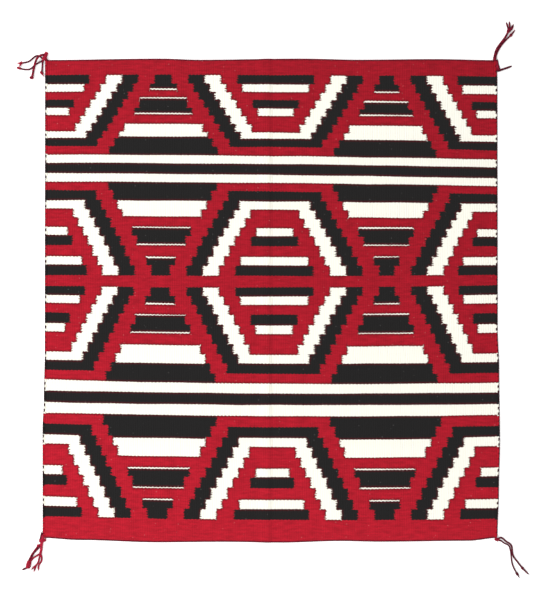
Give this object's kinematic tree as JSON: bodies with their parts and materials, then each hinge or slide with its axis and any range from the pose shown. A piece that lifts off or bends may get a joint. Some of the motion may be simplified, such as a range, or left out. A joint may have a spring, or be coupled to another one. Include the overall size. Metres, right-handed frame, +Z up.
{
  "type": "navajo rug",
  "caption": "Flat handwoven wool rug with a terraced hexagon design, twined edge cords and knotted corner tassels.",
  "frame": {"origin": "middle of the whole outline, tassels included, on the surface the rug lies on", "axes": "+X along the weft from the left side to the right one, +Y along the warp towards the top edge, +Z up"},
  "size_m": [1.0339, 1.1204, 0.007],
  "materials": {
    "woven_wool": "weft-faced wool tapestry weave, red, black and cream, matt",
    "edge_cord_wool": "two-ply twisted wool cord, dark red with a black ply, matt",
    "tassel_wool": "two-ply twisted wool cord, dark red with slightly fuzzy tips, matt"
  },
  "bodies": {
    "root": {"cloth": "woven_wool", "side_cord_left": "edge_cord_wool", "side_cord_right": "edge_cord_wool", "end_cord_top": "edge_cord_wool", "end_cord_bottom": "edge_cord_wool", "loose_cord_right": "edge_cord_wool", "tassel_top_left": "tassel_wool", "tassel_top_right": "tassel_wool", "tassel_bottom_left": "tassel_wool", "tassel_bottom_right": "tassel_wool"}
  },
  "joints": []
}
